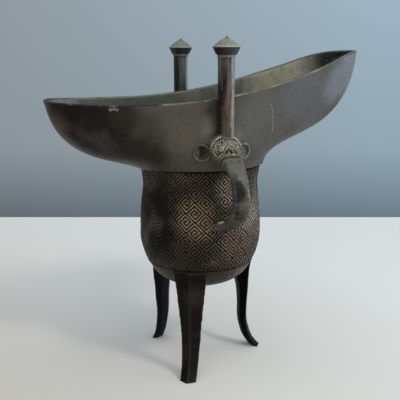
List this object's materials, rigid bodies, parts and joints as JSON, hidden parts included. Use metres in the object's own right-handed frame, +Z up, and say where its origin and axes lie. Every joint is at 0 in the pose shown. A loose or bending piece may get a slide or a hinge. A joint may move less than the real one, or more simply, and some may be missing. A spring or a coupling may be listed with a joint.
{
  "type": "tripod wine cup",
  "caption": "Bronze tripod wine cup with a boat-shaped mouth, capped posts, a beast-headed strap handle and blade legs.",
  "frame": {"origin": "on the floor, under the middle of the whole cup's box", "axes": "+Z up, +X along the mouth towards the raised tail, +Y away from the handle, so the handle points along -Y"},
  "size_m": [0.183, 0.1086, 0.189],
  "materials": {
    "belly": "dark brown patina over a cast key lattice, ridges rubbed to olive gold",
    "bowl": "dark grey brown patina, olive inside",
    "legs": "near black brown patina, satin",
    "head": "grey olive patina with worn ridges",
    "handle": "grey green and purple brown patina",
    "posts": "red brown patina with dark streaks",
    "caps": "grey green patina over dark collars"
  },
  "bodies": {
    "root": {"belly": "belly", "mouth_bowl": "bowl", "leg_tail": "legs", "leg_near": "legs", "leg_far": "legs", "beast_head": "head", "handle": "handle", "post_near": "posts", "post_far": "posts", "cap_near": "caps", "cap_far": "caps"}
  },
  "joints": []
}
